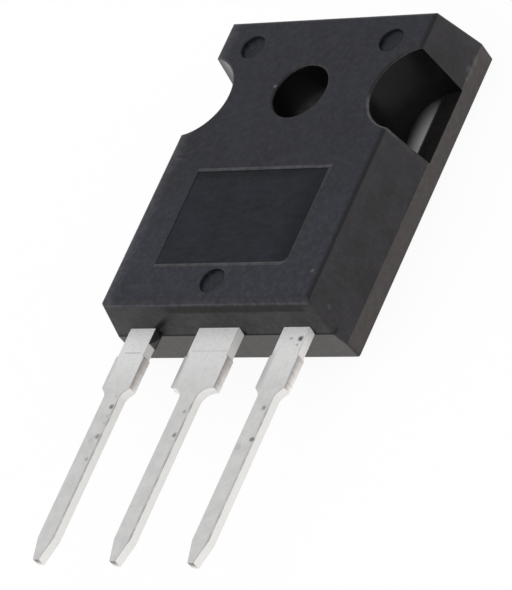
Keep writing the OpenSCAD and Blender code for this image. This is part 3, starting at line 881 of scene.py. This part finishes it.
def build_moulding():
    """Moulding: the CAD shape with the finishes and painted shades of its parts, and the fine rim of its
    marking field.
    """
    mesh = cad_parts["mould_body"].data.copy()
    mesh.name = "moulding"
    give_finishes(mesh, mould_finishes_and_shades(), mould_finish)
    add_piece("moulding", mesh, "mould_body")
    rim = rim_mesh()
    rim.materials.append(moulding(
        "mould_rim", tone=0.014, tint=(0.92, 0.94, 1.22), specular=0.23, roughness=0.5,
        grain_depth=0.010, lightening=rim_row_highlights,
    ))
    add_piece("marking_field_rim", rim)


def rim_line():
    """Points of the marking field's rim, from the lower left corner by the right side to the upper left one.
    Each comes with its outward direction and its share of the full height."""
    low_corner = Vector((FIELD_HALF_W - FIELD_CORNER_R, FIELD_LOW_Y + FIELD_CORNER_R))
    down, right, up = Vector((0, -1)), Vector((1, 0)), Vector((0, 1))
    yield Vector((-FIELD_HALF_W, FIELD_LOW_Y)), down, 1.0
    for step in range(RIM_CORNER_STEPS + 1):
        share = step / RIM_CORNER_STEPS
        angle = math.pi / 2 * share
        out = down * math.cos(angle) + right * math.sin(angle)
        yield low_corner + FIELD_CORNER_R * out, out, 1 + (RIM_SIDE_SHARE - 1) * share
    yield Vector((FIELD_HALF_W, FIELD_HIGH_Y)), right + up, 1.0
    yield Vector((-FIELD_HALF_W, FIELD_HIGH_Y)), up, 1.0


def rim_mesh():
    """Low rounded bead along three sides of the marking field."""
    section = [(RIM_GAP, -RIM_SUNK, 0.0)]
    for step in range(RIM_ARCH_STEPS + 1):
        share = step / RIM_ARCH_STEPS
        section.append((RIM_GAP + RIM_W * share, 0.0, RIM_H * math.sin(math.pi * share)))
    section.append((RIM_GAP + RIM_W, -RIM_SUNK, 0.0))
    shape = bmesh.new()
    rings = []
    for point, out, height_share in rim_line():
        ring = []
        for aside, sunk, up in section:
            flat = point + aside * out
            corner = Vector((flat.x, flat.y, BODY_HIGH.z + sunk + up * height_share))
            ring.append(shape.verts.new(corner * MM))
        rings.append(ring)
    count = len(section)
    for ring, following in zip(rings, rings[1:]):
        for i in range(count):
            j = (i + 1) % count
            shape.faces.new((ring[i], following[i], following[j], ring[j]))
    shape.faces.new(rings[0])
    shape.faces.new(rings[-1])
    bmesh.ops.recalc_face_normals(shape, faces=shape.faces)
    mesh = bpy.data.meshes.new("marking_field_rim")
    shape.to_mesh(mesh)
    shape.free()
    mesh.shade_smooth()
    mesh.set_sharp_from_angle(angle=RIM_SHARP_ANGLE)
    return mesh


def is_sharp(edge):
    return len(edge.link_faces) == 2 and edge.calc_face_angle() > SHARP_ANGLE


def metal_mesh(name, node):
    """CAD node's shape with its edges rounded as on a stamped and plated strip."""
    shape = bmesh.new()
    shape.from_mesh(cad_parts[node].data)
    bmesh.ops.remove_doubles(shape, verts=shape.verts, dist=WELD_DISTANCE * MM)
    bmesh.ops.dissolve_limit(
        shape, angle_limit=FLAT_ANGLE, verts=shape.verts, edges=shape.edges, use_dissolve_boundaries=False
    )
    sharp = [edge for edge in shape.edges if is_sharp(edge)]
    bmesh.ops.bevel(
        shape, geom=sharp, offset=EDGE_BEVEL * MM, offset_type="OFFSET", segments=BEVEL_SEGMENTS, profile=0.5,
        affect="EDGES", clamp_overlap=True,
    )
    mesh = bpy.data.meshes.new(name)
    shape.to_mesh(mesh)
    shape.free()
    if "custom_normal" in mesh.attributes:
        mesh.attributes.remove(mesh.attributes["custom_normal"])
    mesh.shade_smooth()
    mesh.set_sharp_from_angle(angle=SHARP_ANGLE)
    return mesh


def build_lead(name, node, finishes):
    """Lead with tinned faces and bare sheared ones on its cut stubs and tip."""
    mesh = metal_mesh(name, node)

    def finish(centre, normal):
        beside = abs(centre.x - LEAD_X[node]) > STUB_X[node] - CUT_REACH
        along_stub = STUB_LOW_Y - 2 * NEAR < centre.y < STUB_HIGH_Y + 2 * NEAR
        if beside and along_stub and abs(normal.x) > CUT_FACING:
            return "sheared_copper"
        if centre.y < TIP_Y + CUT_REACH and normal.y < -CUT_FACING:
            return "sheared_copper"
        if centre.y > LEAD_END_Y + BODY_MARGIN and centre.z < TAB_TOP + NEAR:
            return "tab_plate"
        return "tin_plate"

    give_finishes(mesh, finishes, finish)
    piece = add_piece(name, mesh, node)
    piece.modifiers.new("face_weighted", "WEIGHTED_NORMAL").keep_sharp = True


def dress_inner_pieces():
    """Finishes of the pieces inside the moulding."""
    solder = plain_metal("dull_solder", (0.45, 0.45, 0.47, 1), 0.5)
    silicon = plain_metal("metallised_silicon", (0.35, 0.36, 0.40, 1), 0.25)
    wire = plain_metal("drawn_aluminium", (0.78, 0.79, 0.80, 1), 0.35)
    finishes = {
        "die_solder": solder,
        "silicon_die": silicon,
        "source_wire_1": wire,
        "source_wire_2": wire,
        "source_wire_3": wire,
        "gate_wire": wire,
    }
    for name, material in finishes.items():
        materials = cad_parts[name].data.materials
        materials.clear()
        materials.append(material)


def main():
    bpy.context.scene.view_settings.view_transform = "Standard"
    add_camera()
    add_floor()
    add_light()
    build_moulding()
    metals = [tin_material(), cut_material(), tab_material()]
    build_lead("gate_strip", "gate_lead", metals)
    build_lead("source_strip", "source_lead", metals)
    build_lead("drain_strip", "drain_frame", metals)
    dress_inner_pieces()


main()
